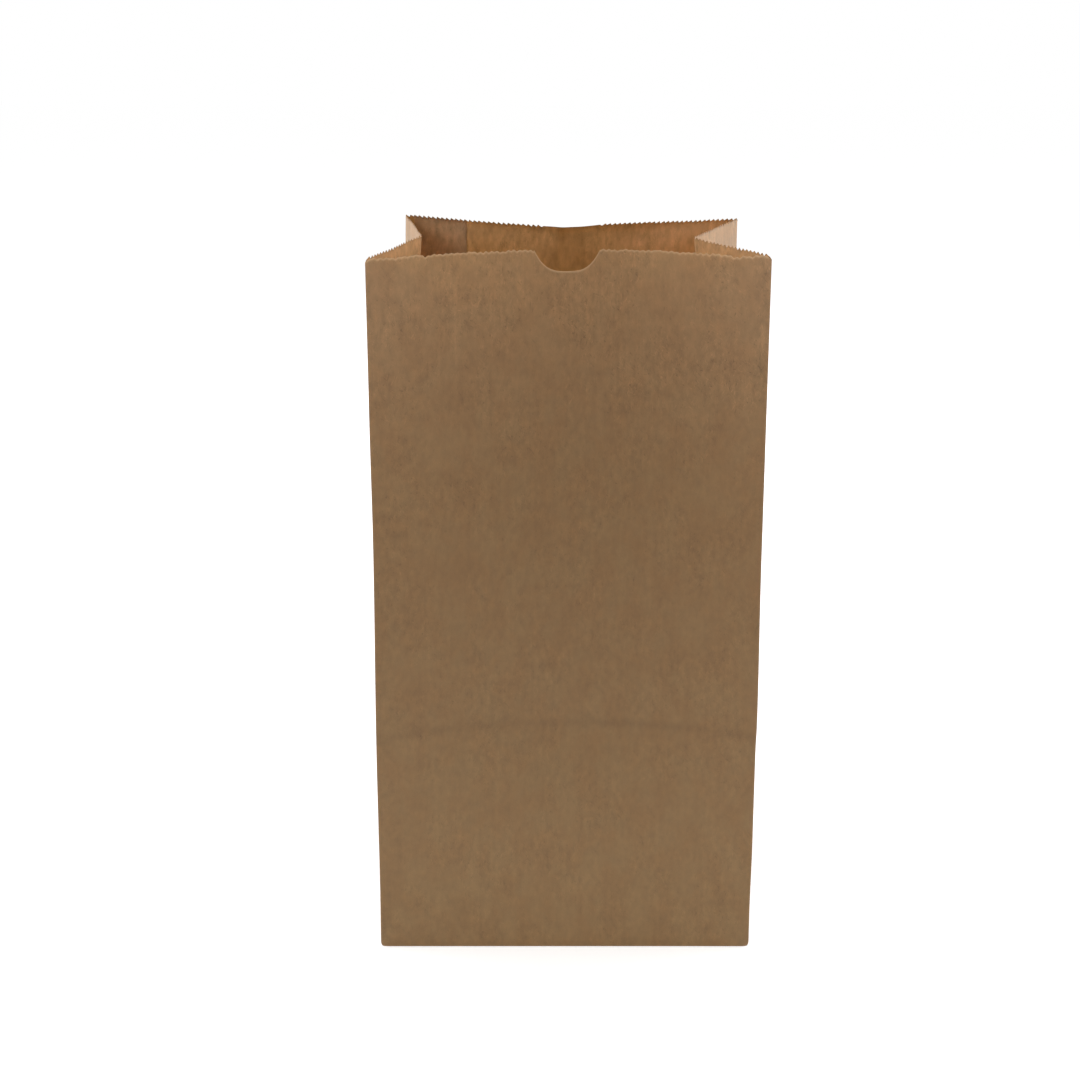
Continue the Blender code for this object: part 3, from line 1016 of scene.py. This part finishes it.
def let_light_through(tree, shader, patterns):
    """Mixes in the light that comes through the paper, unevenly as its pulp lies."""
    clouds = product(tree, patterns["clouds"], THROUGH_CLOUDS)
    flocks = product(tree, patterns["flocks"], THROUGH_FLOCKS)
    uneven = total(tree, clouds, flocks)
    uneven = spread(tree, uneven, 1 - THROUGH_CONTRAST / 2, 1 + THROUGH_CONTRAST / 2)
    through = tree.nodes.new("ShaderNodeBsdfTranslucent")
    tree.links.new(toned(tree, plain_colour(tree, KRAFT_THROUGH), uneven), through.inputs["Color"])
    mixed = tree.nodes.new("ShaderNodeMixShader")
    mixed.inputs["Fac"].default_value = THROUGH_SHARE
    tree.links.new(shader.outputs[0], mixed.inputs[1])
    tree.links.new(through.outputs[0], mixed.inputs[2])
    tree.links.new(mixed.outputs[0], tree.nodes["Material Output"].inputs["Surface"])


def kraft_paper():
    """Unbleached kraft: cloudy, with fibres mostly up the sheet, specks and pale worn creases, and
    painted light and shade by the right gusset, near the mouth, on the seam's inner ply, along the
    pressed line and on the cut edges.
    """
    material = bpy.data.materials.new("kraft_paper")
    material.use_nodes = True
    tree = material.node_tree
    shader = tree.nodes["Principled BSDF"]
    uv_map = tree.nodes.new("ShaderNodeUVMap")
    uv_map.uv_map = "paper"
    sheet = uv_map.outputs["UV"]
    flat = tree.nodes.new("ShaderNodeSeparateXYZ")
    tree.links.new(sheet, flat.inputs[0])
    across, height = flat.outputs["X"], flat.outputs["Y"]

    patterns = paper_patterns(tree, sheet)
    areas = paper_areas(tree, across, height)
    tone = paper_tone(tree, patterns, areas, across, height)
    colour = paper_colour(tree, patterns["clouds"], areas, tone)
    tree.links.new(colour, shader.inputs["Base Color"])
    low = ROUGHNESS - ROUGHNESS_SPREAD / 2
    rough = spread(tree, patterns["flocks"], low, low + ROUGHNESS_SPREAD)
    tree.links.new(rough, shader.inputs["Roughness"])
    shader.inputs["Specular IOR Level"].default_value = SHINE
    shader.inputs["Sheen Weight"].default_value = SHEEN
    shader.inputs["Sheen Roughness"].default_value = SHEEN_ROUGHNESS
    tree.links.new(paper_relief(tree, patterns), shader.inputs["Normal"])
    let_light_through(tree, shader, patterns)
    return material


def seen_ray(tree):
    """1 for rays that show a background: from the camera, a reflection or through glass."""
    path = tree.nodes.new("ShaderNodeLightPath")
    seen = calc(tree, "MAXIMUM", path.outputs["Is Camera Ray"], path.outputs["Is Glossy Ray"])
    return calc(tree, "MAXIMUM", seen, path.outputs["Is Transmission Ray"])


def studio_floor():
    """A wide pale table top, which looks white but still takes the bag's shadow."""
    bpy.ops.object.select_all(action="DESELECT")
    bpy.ops.mesh.primitive_plane_add(size=FLOOR_SIZE, location=(0, 0, 0))
    floor = bpy.context.object
    floor.name = "table_top"
    material = bpy.data.materials.new("white_table")
    material.use_nodes = True
    tree = material.node_tree
    shader = tree.nodes["Principled BSDF"]
    shader.inputs["Base Color"].default_value = (*FLOOR_WHITE, 1.0)
    shader.inputs["Roughness"].default_value = 1.0
    shader.inputs["Specular IOR Level"].default_value = 0.0
    shader.inputs["Emission Color"].default_value = (1, 1, 1, 1)
    place = tree.nodes.new("ShaderNodeTexCoord").outputs["Object"]
    distance = tree.nodes.new("ShaderNodeVectorMath")
    distance.operation = "LENGTH"
    tree.links.new(place, distance.inputs[0])
    far = ramp(tree, distance.outputs["Value"], FLOOR_NEAR, FLOOR_FAR)
    lift = spread(tree, far, FLOOR_LIFT_NEAR, FLOOR_LIFT_FAR)
    tree.links.new(product(tree, seen_ray(tree), lift), shader.inputs["Emission Strength"])
    floor.data.materials.append(material)


def studio_world():
    """White to the eye, and a plain soft level of light on the bag."""
    world = bpy.data.worlds.new("studio")
    bpy.context.scene.world = world
    world.use_nodes = True
    tree = world.node_tree
    background = tree.nodes["Background"]
    background.inputs["Color"].default_value = (1, 1, 1, 1)
    tree.links.new(spread(tree, seen_ray(tree), AMBIENT, 1.0), background.inputs["Strength"])


def softbox(name, place, target, size, colour, power):
    """A flat lamp that faces a target."""
    lamp = bpy.data.lights.new(name, "AREA")
    lamp.shape = "RECTANGLE"
    lamp.size, lamp.size_y = size
    lamp.color = colour
    lamp.energy = power
    box = bpy.data.objects.new(name, lamp)
    bpy.context.scene.collection.objects.link(box)
    box.location = place
    aim = Vector(target) - Vector(place)
    box.rotation_euler = aim.to_track_quat("-Z", "Y").to_euler()


def photo_camera():
    """The photograph's viewpoint, with the whole square picture on a full-frame width."""
    data = bpy.data.cameras.new("camera")
    data.sensor_width = SENSOR
    data.lens = FOCAL_PIXELS / PICTURE_SIDE * SENSOR
    data.clip_start = CLIP_NEAR
    data.clip_end = CLIP_FAR
    camera = bpy.data.objects.new("camera", data)
    bpy.context.scene.collection.objects.link(camera)
    camera.location = CAMERA_PLACE
    camera.rotation_euler = (math.pi / 2 - CAMERA_PITCH, 0, 0)
    bpy.context.scene.camera = camera


bag = make_bag()
bag.data.materials.clear()
bag.data.materials.append(kraft_paper())
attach(bag, "root")
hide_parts("paper_bag")

studio_floor()
studio_world()
for softbox_values in SOFTBOXES:
    softbox(*softbox_values)
photo_camera()
bpy.context.scene.view_settings.view_transform = "Standard"
